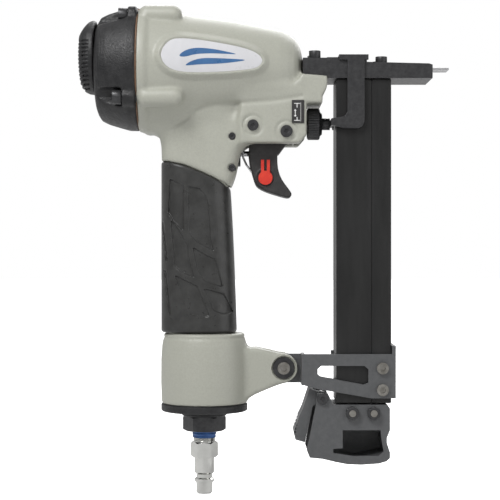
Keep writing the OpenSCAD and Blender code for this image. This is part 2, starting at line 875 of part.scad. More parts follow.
// Bolt through the arm's boss
module bracket_bolt() {
    color(steel) translate([boss_at[0], -8, boss_at[1]]) rotate([90, 0, 0])
        cap_screw(bolt_r, 17, 3.6, 2.4);
}

// Washer under the bolt's head
module bracket_washer() {
    color(dark_steel) difference() {
        rod_y([-8, -7], 6.4, boss_at);
        rod_y([-9, -6], bolt_r + fit, boss_at);
    }
}

// Spacer between the bracket's two tongues
module bracket_bush() {
    color(steel) difference() {
        rod_y([-2, 2], 6, boss_at);
        rod_y([-3, 3], bolt_r + fit, boss_at);
    }
}

// A hexagon nut along Y
module nut_y(y, af, hole, at) {
    difference() {
        translate([at[0], y[0], at[1]]) rotate([-90, 30, 0])
            cylinder(d = af / cos(30), h = y[1] - y[0], $fn = 6);
        rod_y([y[0] - 1, y[1] + 1], hole, at);
    }
}
module bracket_nut() {
    color(steel) nut_y([6.4, 10], 10, bolt_r + fit, boss_at);
}

// Cage at the magazine's end, with a finger window on its near side
module end_cage() {
    color(black) difference() {
        across([-cage_half, cage_half]) polygon([[-66.8, -189.4], [-60.4, -189.4],
            [-57.4, -195.8], [-26, -195.8], [-24.5, -198], [-24.5, -210.5], [-26.3, -215],
            [-26.3, -218], [-24.5, -223.5], [-24.5, -226.7], [-26.5, -228.6], [-31, -229.9],
            [-41, -230.6], [-49, -230.3], [-56, -229], [-63.5, -227.2], [-71, -226.5],
            [-72.6, -222.5], [-70.2, -210], [-67.4, -196]]);
        across([-cage_in, cage_in]) polygon([[-80, -180], [-60, -180], [-56, -195], [-20, -195],
            [-20, -196], [-27, -196], [-27, -210.5], [-29, -217], [-27, -224.5], [-41, -227.8],
            [-56, -226.2], [-63.5, -224.4], [-80, -222.4]]);
        slab([-30, -20], [-13, 13], [-196, -195]);
        across([-20, -10]) polygon([[-51.9, -210.6], [-30, -210.6], [-29.4, -216],
            [-28.2, -223], [-31, -225.4], [-46, -225.6], [-57.4, -223.8], [-57.4, -221.4],
            [-51.9, -221]]);
        for (at = cage_bolts_at) {
            rod_y([-20, 20], 2 + fit, at);
        }
        rod_y([-20, 20], 2 + fit, latch_at);
    }
}

// Block that closes the cage and holds the rail's end
module end_block() {
    color(dark_steel) difference() {
        bar([-58, -27 - fit], cage_in - fit, [-207, magazine_foot - 1]);
        for (at = cage_bolts_at) {
            rod_y([-20, 20], 2 + fit, at);
        }
    }
}

// Two bolts through the cage and its block
module cage_bolts() {
    color(dark_steel) for (at = cage_bolts_at) {
        translate([at[0], cage_half, at[1]]) rotate([-90, 0, 0])
            cap_screw(2, cage_half * 2 + 3.6, 3.5, 3);
    }
}
module cage_nuts() {
    color(steel) for (at = cage_bolts_at) {
        nut_y([-cage_half - 3.2, -cage_half], 7, 2 + fit, at);
    }
}

// Thumb lever that releases the magazine's drawer
module latch_lever() {
    color(black) difference() {
        union() {
            across([-11, 11]) polygon([[-70.9, -186.8], [-66.8, -188.4], [-62, -189.4],
                [-61, -194], [-69.2, -197], [-71.4, -207.6], [-73.6, -218.2], [-79.2, -216.6],
                [-80.2, -212.5], [-77.4, -204], [-74.8, -198.6]]);
            rod_y([-11, 11], 3.6, latch_at);
        }
        rod_y([-12, 12], 2 + run, latch_at);
        bar([-68.4, -58], 4.2, [-198, -187]);
        for (i = [0:4]) {
            translate([-77.6 - i * 0.45, 0, -204.6 - i * 1.9]) rotate([90, 0, 0])
                cylinder(r = 0.5, h = 24, center = true);
        }
    }
}

// Pin that the latch lever turns on
module latch_pin() {
    color(steel) headed_pin(cage_half, 2, 3.4, 1.8, latch_at);
}

// Spring around the latch pin
module latch_spring() {
    color(steel) translate([latch_at[0], -3.9, latch_at[1]]) rotate([-90, 0, 0])
        coil(2.8, 0.4, 7.8, 5, 6, 14);
}

body_housing();
grip_sleeve();
head_cap();
head_gasket();
head_cap_screws();
cylinder_liner();
liner_o_rings();
bumper();
head_valve();
head_valve_spring();
exhaust_cover();
exhaust_screw();
piston();
piston_o_ring();
driver_blade();
nose_body();
nose_front_plate();
nose_screws();
contact_arm();
contact_tip();
contact_stem();
depth_wheel();
safety_yoke();
safety_spring();
depth_plate();
side_badge();
guide_pin();
trigger();
trigger_pivot_pin();
mode_selector();
contact_lever();
trigger_spring();
valve_bushing();
valve_stem();
valve_spring();
valve_o_rings();
valve_pins();
end_cap();
end_cap_gasket();
inlet_bushing();
thread_seal();
air_plug();
magazine_rear_channel();
magazine_front_channel();
magazine_rail();
pusher();
pusher_spring();
magazine_bracket();
bracket_screws();
bracket_bolt();
bracket_washer();
bracket_bush();
bracket_nut();
end_cage();
end_block();
cage_bolts();
cage_nuts();
latch_lever();
latch_pin();
latch_spring();
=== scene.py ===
"""Visual model of a pneumatic flooring nailer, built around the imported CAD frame.

Lengths are millimetres in the CAD frame and MM turns them into metres, except for the
camera, floor and lamps, which are in metres.
Cast and moulded shells are modelled as distance fields and meshed here, and the inlet's
pieces and the depth wheel are turned here. All other pieces keep their CAD shape and get
materials and, except for the springs, bevelled edges.
"""
import math

import bmesh
import bpy
import numpy as np
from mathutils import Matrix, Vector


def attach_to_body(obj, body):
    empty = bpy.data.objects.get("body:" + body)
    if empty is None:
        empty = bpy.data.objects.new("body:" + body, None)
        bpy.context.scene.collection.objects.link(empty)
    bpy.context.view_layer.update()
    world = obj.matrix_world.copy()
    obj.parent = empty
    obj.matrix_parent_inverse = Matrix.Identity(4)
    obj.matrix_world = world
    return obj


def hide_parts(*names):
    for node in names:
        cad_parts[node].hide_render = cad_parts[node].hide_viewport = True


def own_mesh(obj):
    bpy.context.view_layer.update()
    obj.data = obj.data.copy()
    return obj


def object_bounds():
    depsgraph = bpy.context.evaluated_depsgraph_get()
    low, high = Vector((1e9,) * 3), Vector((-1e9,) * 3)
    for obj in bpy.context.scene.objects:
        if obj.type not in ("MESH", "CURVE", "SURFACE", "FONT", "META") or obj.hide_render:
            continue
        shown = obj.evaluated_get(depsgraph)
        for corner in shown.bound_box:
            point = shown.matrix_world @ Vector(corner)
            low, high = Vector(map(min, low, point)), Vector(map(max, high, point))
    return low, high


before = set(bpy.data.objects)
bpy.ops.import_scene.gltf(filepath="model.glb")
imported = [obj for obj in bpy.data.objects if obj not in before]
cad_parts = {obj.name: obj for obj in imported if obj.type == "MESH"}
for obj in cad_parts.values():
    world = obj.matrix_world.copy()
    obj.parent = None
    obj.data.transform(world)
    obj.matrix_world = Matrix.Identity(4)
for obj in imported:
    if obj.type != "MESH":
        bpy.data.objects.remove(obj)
cad_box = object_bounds()

MM = 0.001
VOXEL = 0.8


# ---------------------------------------------------------------- camera, floor and light

LENS, SENSOR_WIDTH = 101.78, 36.0
VIEW_X, VIEW_DISTANCE, VIEW_Z = -105.6 * MM, 0.834, -106.2 * MM
FLOOR_REACH, FLOOR_GAP = 6.0, 0.0005
# Strength of the surroundings as light: rising with height, and banded around the object
HEIGHT_FADE = {"From Min": -0.4, "From Max": 0.9, "To Min": 0.42, "To Max": 0.72}
SIDE_BANDS = ((0.1, 1.0), (0.2, 0.35), (0.34, 0.3), (0.5, 0.75))
# Name, place, size and power of each lamp, all in metres and watts
LAMPS = (("key", (-0.5, -0.62, 0.62), 0.4, 8.5),
         ("fill", (0.8, -0.5, 0.1), 0.8, 3),
         ("back", (0.1, 0.8, 0.6), 0.8, 8))
LAMP_TARGET = (-0.1, 0, -0.1)


def add_object(name, data):
    thing = bpy.data.objects.new(name, data)
    bpy.context.scene.collection.objects.link(thing)
    return thing


def place_camera():
    """Level camera that looks along +Y, as in the photograph."""
    data = bpy.data.cameras.new("camera")
    data.lens = LENS
    data.sensor_width = SENSOR_WIDTH
    data.clip_start = 0.01
    camera = add_object("camera", data)
    camera.location = (VIEW_X, -VIEW_DISTANCE, VIEW_Z)
    camera.rotation_euler = (math.pi / 2, 0, 0)
    bpy.context.scene.camera = camera


def lay_floor():
    """Floor that is white to the camera, grey as a reflector and clear from below."""
    floor_z = cad_box[0][2] - FLOOR_GAP
    mesh = bpy.data.meshes.new("floor")
    corners = ((-1, -1), (1, -1), (1, 1), (-1, 1))
    mesh.from_pydata([(FLOOR_REACH * x, FLOOR_REACH * y, floor_z) for x, y in corners],
                     [], [(0, 1, 2, 3)])
    floor = add_object("floor", mesh)
    material, nodes, links = new_material("floor")
    shader = nodes["Principled BSDF"]
    shader.inputs["Base Color"].default_value = (0.7, 0.7, 0.7, 1)
    shader.inputs["Roughness"].default_value = 0.6
    shader.inputs["Emission Color"].default_value = (1, 1, 1, 1)
    mesh.materials.append(material)

    seen = nodes.new("ShaderNodeLightPath")
    links.new(seen.outputs["Is Camera Ray"], shader.inputs["Emission Strength"])
    below = nodes.new("ShaderNodeMixShader")
    links.new(nodes.new("ShaderNodeNewGeometry").outputs["Backfacing"], below.inputs[0])
    links.new(shader.outputs[0], below.inputs[1])
    links.new(nodes.new("ShaderNodeBsdfTransparent").outputs[0], below.inputs[2])
    links.new(below.outputs[0], nodes["Material Output"].inputs["Surface"])


def light_world():
    """Surroundings that the camera sees as white and that light the object unevenly."""
    world = bpy.data.worlds.new("world")
    world.use_nodes = True
    nodes, links = world.node_tree.nodes, world.node_tree.links
    background = nodes["Background"]
    background.inputs["Color"].default_value = (1, 1, 1, 1)
    place = nodes.new("ShaderNodeTexCoord")
    parts = nodes.new("ShaderNodeSeparateXYZ")
    links.new(place.outputs["Generated"], parts.inputs[0])
    fade = map_range(nodes, links, parts.outputs["Z"], HEIGHT_FADE)
    side = map_range(nodes, links, parts.outputs["Y"], {"From Min": -1})
    bands = nodes.new("ShaderNodeValToRGB")
    stops = bands.color_ramp.elements
    stops[0].color = (1, 1, 1, 1)
    for at, gray in SIDE_BANDS:
        stops.new(at).color = (gray, gray, gray, 1)
    links.new(side, bands.inputs["Fac"])
    total = multiply(nodes, links, fade, bands.outputs["Color"])
    path = nodes.new("ShaderNodeLightPath")
    level = nodes.new("ShaderNodeMix")
    links.new(path.outputs["Is Camera Ray"], level.inputs["Factor"])
    links.new(total, level.inputs["A"])
    level.inputs["B"].default_value = 1.0
    links.new(level.outputs["Result"], background.inputs["Strength"])
    bpy.context.scene.world = world
    bpy.context.scene.view_settings.view_transform = "Standard"


def hang_lamps():
    for name, place, size, power in LAMPS:
        lamp = bpy.data.lights.new(name, "AREA")
        lamp.size = size
        lamp.energy = power
        light = add_object(name, lamp)
        light.location = place
        aim = np.array(LAMP_TARGET) - np.array(place)
        light.rotation_euler = (math.acos(-aim[2] / np.linalg.norm(aim)), 0,
                                math.atan2(aim[1], aim[0]) - math.pi / 2)


# ---------------------------------------------------------------- materials

def new_material(name):
    """The material with its nodes and links."""
    material = bpy.data.materials.new(name)
    material.use_nodes = True
    return material, material.node_tree.nodes, material.node_tree.links


def noise(nodes, links, scale, detail=4.0, rough=0.55, stretch=None):
    """Noise in the object's own metres; stretch squeezes it along chosen axes."""
    place = nodes.new("ShaderNodeTexCoord")
    texture = nodes.new("ShaderNodeTexNoise")
    texture.inputs["Scale"].default_value = scale
    texture.inputs["Detail"].default_value = detail
    texture.inputs["Roughness"].default_value = rough
    if stretch:
        mapping = nodes.new("ShaderNodeMapping")
        mapping.inputs["Scale"].default_value = stretch
        links.new(place.outputs["Object"], mapping.inputs["Vector"])
        links.new(mapping.outputs["Vector"], texture.inputs["Vector"])
    else:
        links.new(place.outputs["Object"], texture.inputs["Vector"])
    return texture.outputs["Fac"]


def ramp(nodes, links, source, low, high):
    """Blends two colours by a value around one half."""
    blend = nodes.new("ShaderNodeValToRGB")
    for stop, at, color in zip(blend.color_ramp.elements, (0.35, 0.65), (low, high)):
        stop.position = at
        stop.color = (*color, 1)
    links.new(source, blend.inputs["Fac"])
    return blend.outputs["Color"]


def map_range(nodes, links, source, values):
    node = nodes.new("ShaderNodeMapRange")
    for key, value in values.items():
        node.inputs[key].default_value = value
    links.new(source, node.inputs["Value"])
    return node.outputs["Result"]


def multiply(nodes, links, first, second):
    node = nodes.new("ShaderNodeMath")
    node.operation = "MULTIPLY"
    links.new(first, node.inputs[0])
    links.new(second, node.inputs[1])
    return node.outputs[0]


def spread(nodes, links, source, low, high):
    """Maps a 0.3 to 0.7 noise value onto a range."""
    return map_range(nodes, links, source, {"From Min": 0.3, "From Max": 0.7,
                                            "To Min": low, "To Max": high})


def edge_wear_and_highlight(nodes, links, color, wear_and_highlight_color, start, amount):
    """Mixes a lighter colour in where the surface is sharply convex: partly edge wear, partly
    a painted highlight along the edges.
    """
    geometry = nodes.new("ShaderNodeNewGeometry")
    edge = map_range(nodes, links, geometry.outputs["Pointiness"],
                     {"From Min": start, "From Max": start + 0.08, "To Max": amount})
    patches = spread(nodes, links, noise(nodes, links, 260), 0.1, 1.0)
    mix = nodes.new("ShaderNodeMix")
    mix.data_type = "RGBA"
    links.new(multiply(nodes, links, edge, patches), mix.inputs["Factor"])
    links.new(color, mix.inputs[6])
    mix.inputs[7].default_value = (*wear_and_highlight_color, 1)
    return mix.outputs[2]


def surface(name, low, high, rough, metal=0.0, grain=900, bump=0.15, bump_mm=0.05, tint=120,
            edge_wear_highlight=None, stretch=None, coat=0.0, specular=0.5):
    """A material with varied colour and roughness, grain in relief and lighter edges that are
    partly wear and partly painted highlight.
    """
    material, nodes, links = new_material(name)
    shader = nodes["Principled BSDF"]
    shader.inputs["Metallic"].default_value = metal
    shader.inputs["Coat Weight"].default_value = coat
    shader.inputs["Coat Roughness"].default_value = 0.2
    shader.inputs["Specular IOR Level"].default_value = specular
    color = ramp(nodes, links, noise(nodes, links, tint, 6, 0.6, stretch), low, high)
    # Sharp convex edges get a lighter colour: partly edge wear, partly a painted highlight
    if edge_wear_highlight:
        color = edge_wear_and_highlight(nodes, links, color, *edge_wear_highlight)
    links.new(color, shader.inputs["Base Color"])
    patches = noise(nodes, links, tint * 1.7, 5, 0.6, stretch)
    links.new(spread(nodes, links, patches, rough[0], rough[1]), shader.inputs["Roughness"])
    relief = nodes.new("ShaderNodeBump")
    relief.inputs["Strength"].default_value = bump
    relief.inputs["Distance"].default_value = bump_mm * MM
    links.new(noise(nodes, links, grain, 3, 0.6, stretch), relief.inputs["Height"])
    links.new(relief.outputs["Normal"], shader.inputs["Normal"])
    return material


def make_materials():
    return {
        # paint and cast_black lighten their sharp edges: partly edge wear, partly a painted
        # highlight
        "paint": surface("paint", (0.333, 0.337, 0.292), (0.36, 0.363, 0.315), (0.36, 0.5),
                         grain=1300, bump=0.7, bump_mm=0.16, tint=900,
                         edge_wear_highlight=((0.36, 0.36, 0.31), 0.55, 0.4)),
        "cast": surface("cast_black", (0.006, 0.006, 0.007), (0.016, 0.016, 0.017),
                        (0.36, 0.55), grain=950, bump=1.0, bump_mm=0.3, tint=260,
                        specular=0.42, edge_wear_highlight=((0.10, 0.10, 0.10), 0.56, 0.35)),
        "rubber": surface("rubber", (0.028, 0.028, 0.027), (0.042, 0.042, 0.041),
                          (0.26, 0.38), grain=1700, bump=0.45, bump_mm=0.1, tint=150,
                          specular=0.35),
        "plastic": surface("plastic_black", (0.024, 0.023, 0.023), (0.036, 0.034, 0.034),
                           (0.42, 0.58), grain=2000, bump=0.3, bump_mm=0.06, tint=220,
                           specular=0.35),
        "oxide": surface("black_oxide", (0.042, 0.042, 0.044), (0.062, 0.062, 0.064),
                         (0.32, 0.44), metal=0.6, grain=1200, bump=0.25, bump_mm=0.05,
                         tint=400, specular=0.35),
        "sheet": surface("painted_sheet", (0.011, 0.011, 0.011), (0.019, 0.019, 0.019),
                         (0.28, 0.4), grain=900, bump=0.3, bump_mm=0.08, tint=120,
                         stretch=(1, 1, 0.12), specular=0.3),
        "pressed": surface("phosphated_sheet", (0.07, 0.072, 0.075), (0.084, 0.086, 0.089),
                           (0.36, 0.5), grain=1300, bump=0.35, bump_mm=0.08, tint=350),
        "steel": surface("steel", (0.46, 0.46, 0.47), (0.6, 0.6, 0.61), (0.22, 0.36),
                         metal=1.0, grain=700, bump=0.12, tint=90, stretch=(0.2, 1, 1)),
        "chrome": surface("chrome", (0.5, 0.5, 0.48), (0.62, 0.62, 0.6), (0.04, 0.1),
                          metal=1.0, grain=500, bump=0.05, bump_mm=0.03, tint=60),
        "dull": surface("dull_steel", (0.2, 0.19, 0.17), (0.3, 0.29, 0.27), (0.3, 0.45),
                        metal=1.0, grain=900, bump=0.2, tint=300),
        "alloy": surface("machined_alloy", (0.36, 0.36, 0.37), (0.46, 0.46, 0.47),
                         (0.3, 0.45), metal=0.9, grain=700, bump=0.2, tint=120,
                         stretch=(1, 1, 0.2)),
        "red": surface("red_plastic", (0.52, 0.025, 0.015), (0.62, 0.04, 0.02), (0.3, 0.42),
                       grain=900, bump=0.15, tint=200),
        "white": surface("white_film", (0.54, 0.54, 0.56), (0.57, 0.57, 0.59), (0.25, 0.36),
                         grain=500, bump=0.06, bump_mm=0.03, tint=100, coat=0.3),
        "mark": surface("blue_mark", (0.03, 0.10, 0.24), (0.04, 0.13, 0.29), (0.25, 0.36),
                        grain=500, bump=0.05, tint=100, coat=0.3),
        "pictogram": surface("pictogram", (0.55, 0.55, 0.54), (0.7, 0.7, 0.69), (0.4, 0.5),
                             grain=800, bump=0.1, tint=200),
        "gasket": surface("gasket", (0.10, 0.055, 0.03), (0.16, 0.09, 0.05), (0.6, 0.75),
                          grain=1300, bump=0.4, tint=300),
        "sealant": surface("sealant", (0.02, 0.07, 0.22), (0.03, 0.11, 0.32), (0.4, 0.6),
                           grain=900, bump=0.6, bump_mm=0.2, tint=300),
    }


# ---------------------------------------------------------------- distance fields

class Field:
    """A box of grid points in millimetres on which distances are evaluated."""

    def __init__(self, low, high, step=VOXEL):
        self.low = np.array(low, dtype=np.float32)
        self.step = step
        counts = [int(math.ceil((b - a) / step)) + 1 for a, b in zip(low, high)]
        axes = [self.low[i] + step * np.arange(count, dtype=np.float32)
                for i, count in enumerate(counts)]
        self.x = axes[0][:, None, None]
        self.y = axes[1][None, :, None]
        self.z = axes[2][None, None, :]


def join(a, b, soft):
    """Union with a fillet of about the given radius."""
    h = np.clip(soft - np.abs(a - b), 0, None) / soft
    return np.minimum(a, b) - h * h * soft * 0.25


def cut(a, b, soft=0.8):
    """Takes b away from a, with a slightly rounded edge."""
    return -join(-a, b, soft)


def beyond(x, x0, x1):
    """Distance along one axis to an interval, negative inside it."""
    return np.maximum(x0 - x, x - x1)


def rod(f, axis, at, span, radius, edge=0.6):
    """Cylinder along an axis ("x", "y" or "z") with rounded rims."""
    other = {"x": (f.y, f.z), "y": (f.x, f.z), "z": (f.x, f.y)}[axis]
    along = {"x": f.x, "y": f.y, "z": f.z}[axis]
    radial = np.sqrt((other[0] - at[0]) ** 2 + (other[1] - at[1]) ** 2) - radius
    ends = beyond(along, *span)
    return round_join(radial, ends, edge)


def round_join(a, b, edge):
    """Intersection of two distances with a rounded edge."""
    a, b = a + edge, b + edge
    outside = np.sqrt(np.maximum(a, 0) ** 2 + np.maximum(b, 0) ** 2)
    return outside + np.minimum(np.maximum(a, b), 0) - edge


STEEPEST = 4.0  # slope up to which a turned profile's distance is corrected


def turned(f, profile, center_z=0.0):
    """Shape turned about X from a list of (x, radius)."""
    x, radius = np.array(profile).T
    order = np.argsort(x)
    x, radius = x[order], radius[order]
    wanted = np.interp(f.x, x, radius)
    slope = np.gradient(wanted[:, 0, 0], f.step)[:, None, None]
    slope = np.clip(slope, -STEEPEST, STEEPEST)
    radial = np.sqrt(f.y ** 2 + (f.z - center_z) ** 2) - wanted
    return np.maximum(radial / np.sqrt(1 + slope ** 2), beyond(f.x, x[0], x[-1]))


def outline_distance(f, outline):
    """Signed distance to a closed outline in X and Z, negative inside."""
    px, pz = f.x[:, 0, :] + 0 * f.z[0], f.z[0] + 0 * f.x[:, 0, :]
    nearest = np.full(px.shape, 1e9, dtype=np.float32)
    sign = np.ones(px.shape, dtype=np.float32)
    count = len(outline)
    for i in range(count):
        ax, az = outline[i]
        bx, bz = outline[i - 1]
        ex, ez = bx - ax, bz - az
        wx, wz = px - ax, pz - az
        t = np.clip((wx * ex + wz * ez) / (ex * ex + ez * ez + 1e-9), 0, 1)
        nearest = np.minimum(nearest, (wx - ex * t) ** 2 + (wz - ez * t) ** 2)
        above, below = pz >= az, pz < bz
        left = ex * wz > ez * wx
        flip = (above & below & left) | (~above & ~below & ~left)
        sign = np.where(flip, -sign, sign)
    return (sign * np.sqrt(nearest))[:, None, :]


def path_distance(f, points):
    """Distance in X and Z to an open path."""
    px, pz = f.x[:, 0, :] + 0 * f.z[0], f.z[0] + 0 * f.x[:, 0, :]
    nearest = np.full(px.shape, 1e9, dtype=np.float32)
    for (ax, az), (bx, bz) in zip(points, points[1:]):
        ex, ez = bx - ax, bz - az
        t = np.clip(((px - ax) * ex + (pz - az) * ez) / (ex * ex + ez * ez), 0, 1)
        nearest = np.minimum(nearest, (px - ax - ex * t) ** 2 + (pz - az - ez * t) ** 2)
    return np.sqrt(nearest)[:, None, :]


def slab_of(f, outline, y_span, edge=1.5):
    """Outline carried across Y, with rounded edges."""
    return round_join(outline_distance(f, outline), beyond(f.y, *y_span), edge)


def block(f, low, high, edge=0.8):
    """Box with rounded edges."""
    d = [beyond(v, low[i] + edge, high[i] - edge) for i, v in enumerate((f.x, f.y, f.z))]
    outside = np.sqrt(sum(np.maximum(v, 0) ** 2 for v in d))
    return outside + np.minimum(np.maximum(np.maximum(d[0], d[1]), d[2]), 0) - edge


def smooth_outline(points, rounds=2):
    """Cuts an outline's corners so that it reads as a curve."""
    points = np.array(points, dtype=float)
    for _ in range(rounds):
        after = np.roll(points, -1, axis=0)
        points = np.stack((points * 0.75 + after * 0.25,
                           points * 0.25 + after * 0.75), axis=1).reshape(-1, 2)
    return points


def surface_net(f, field):
    """Points and quads of the field's zero surface."""
    inside = field < 0
    shape = tuple(n - 1 for n in field.shape)
    corners = [(i, j, k) for i in (0, 1) for j in (0, 1) for k in (0, 1)]
    total = np.zeros(shape, dtype=np.uint8)
    for i, j, k in corners:
        total += inside[i:i + shape[0], j:j + shape[1], k:k + shape[2]]
    cells = np.nonzero((total > 0) & (total < 8))
    index = np.full(shape, -1, dtype=np.int64)
    index[cells] = np.arange(len(cells[0]))
    place = np.zeros((len(cells[0]), 3), dtype=np.float64)
    weight = np.zeros(len(cells[0]))
    for a in corners:
        for axis in range(3):
            if a[axis]:
                continue
            b = list(a)
            b[axis] = 1
            fa = field[cells[0] + a[0], cells[1] + a[1], cells[2] + a[2]]
            fb = field[cells[0] + b[0], cells[1] + b[1], cells[2] + b[2]]
            crosses = (fa < 0) != (fb < 0)
            t = np.where(crosses, fa / np.where(crosses, fa - fb, 1), 0)
            for c in range(3):
                place[:, c] += crosses * (a[c] + (t if c == axis else 0))
            weight += crosses
    place = place / weight[:, None] + np.stack(cells, axis=1)
    quads = []
    for axis in range(3):
        u, v = (axis + 1) % 3, (axis + 2) % 3
        here = [slice(1, n) for n in shape]
        here[axis] = slice(0, shape[axis])
        there = list(here)
        there[axis] = slice(1, shape[axis] + 1)
        first, second = inside[tuple(here)], inside[tuple(there)]
        for flip, hit in ((False, first & ~second), (True, ~first & second)):
            at = np.stack(np.nonzero(hit), axis=1)
            at[:, u] += 1
            at[:, v] += 1
            ring = []
            for du, dv in ((-1, -1), (0, -1), (0, 0), (-1, 0)):
                cell = at.copy()
                cell[:, u] += du
                cell[:, v] += dv
                ring.append(index[cell[:, 0], cell[:, 1], cell[:, 2]])
            ring = np.stack(ring, axis=1)
            quads.append(ring[:, ::-1] if flip else ring)
    return place * f.step + f.low, np.concatenate(quads)


def mesh_object(name, points, faces, material, smooth_angle=32):
    """A smooth-shaded object from points in millimetres."""
    mesh = bpy.data.meshes.new(name)
    mesh.from_pydata((np.asarray(points) * MM).tolist(), [],
                     [list(map(int, q)) for q in faces])
    mesh.update()
    mesh.materials.append(material)
    piece = add_object(name, mesh)
    mesh.shade_smooth()
    mesh.set_sharp_from_angle(angle=math.radians(smooth_angle))
    return piece


def face_outward(piece, weld=False):
    """Turns every face outward; weld first joins points that meet and closes open rims."""
    mesh = bmesh.new()
    mesh.from_mesh(piece.data)
    if weld:
        bmesh.ops.remove_doubles(mesh, verts=mesh.verts, dist=1e-6)
        bmesh.ops.dissolve_degenerate(mesh, edges=mesh.edges, dist=1e-7)
        bmesh.ops.holes_fill(mesh, edges=mesh.edges)
    bmesh.ops.recalc_face_normals(mesh, faces=mesh.faces)
    mesh.to_mesh(piece.data)
    mesh.free()


def attach(piece, body, nodes):
    """Gives a piece its body, the CAD nodes that it stands for, if any."""
    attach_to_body(piece, body)
    if nodes:
        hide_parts(*nodes)


def moulded(name, f, field, material, body, nodes, relax=1, smooth_angle=40):
    """Meshes a field and lets the piece stand for the CAD nodes that it replaces."""
    points, quads = surface_net(f, field)
    piece = mesh_object(name, points, quads, material, smooth_angle)
    if relax:
        soften = piece.modifiers.new("relax", "SMOOTH")
        soften.factor = 0.5
        soften.iterations = relax
    attach(piece, body, nodes)


# ---------------------------------------------------------------- shared places, in mm

BOLT_CIRCLE = 34.0
BOLT_ANGLES = [math.radians(a) for a in (60, 120, -34, 214)]
BOLTS = [(BOLT_CIRCLE * math.cos(a), BOLT_CIRCLE * math.sin(a)) for a in BOLT_ANGLES]
BOLT_SEATS = [-176.5, -176.5, -179.0, -179.0]
PIVOT, GUIDE, SELECTOR = (-84.6, -37.8), (-103.9, -34.3), (-96.6, -64.1)
VALVE_PINS = [(-115.9, -40.4), (-115.9, -58.6)]
SAFETY_Z, VALVE_Z, EXHAUST_Z = -32.0, -49.5, 7.0
BASE_X, BOSS = -132.5, (-85.9, -175.2)

BARREL = [(-170, 36), (-166, 35.9), (-163.5, 34.3), (-150, 33.2), (-144, 32.5),
          (-138, 31.3), (-129, 30.1), (-114.5, 28.1), (-105.6, 26.3), (-99.7, 25.2),
          (-93.8, 24.1), (-87.9, 22.8), (-83.8, 21.1), (-80.2, 18.7), (-77.3, 15.2),
          (-75.6, 11.6), (-75, 7)]
LABEL = [(-156.8, 4.7), (-152.9, 11.8), (-147.6, 14.4), (-134, 13.6), (-114.2, 10.4),
         (-105.6, 8.2), (-100.5, 5.6), (-97.9, 1.9), (-101.1, -2.1), (-108.5, -3.5),
         (-122.7, -4.9), (-139.7, -5.5), (-148.3, -4.7), (-154, -1.5)]
CREASE = [(-152, -36.4), (-144, -31), (-137.2, -26.6), (-132.5, -24), (-127, -22.4),
          (-110, -21.4), (-94.3, -20.4), (-84, -19), (-76, -17.4)]
GRIP_TOP = [(-175, -160), (-175, -54.4), (-157.6, -54.4), (-152.8, -54.9), (-144, -57.2),
            (-135.1, -60.8), (-126.3, -64.6), (-120.4, -67.4), (-117.4, -69.6), (-108, -74),
            (-108, -160)]
GRIP_TOP_GAP = 0.3
LABEL_RISE, LABEL_FLOOR, LABEL_BEVEL = 2.6, 1.0, 3.6
# Half widths of the trigger housing, neck, magazine's arm and trigger
BLOCK_HALF, NECK_HALF, ARM_HALF, TRIGGER_HALF = 20.5, 17.2, 9, 9
MARKS = [[(-146.5, 3.4), (-143, 6.8), (-137, 8.8), (-128, 8.4), (-119, 6.8), (-112, 5.2),
          (-119, 5.4), (-128, 5.6), (-137, 5.0), (-142, 3.2)],
         [(-143, -1.8), (-139, 1.0), (-133, 2.8), (-124, 2.8), (-115, 2.6), (-106.5, 2.2),
          (-115, 0.6), (-124, -0.4), (-133, -0.8), (-139, -1.4)]]


def label_distance(f):
    return outline_distance(f, smooth_outline(LABEL))


# ---------------------------------------------------------------- painted body

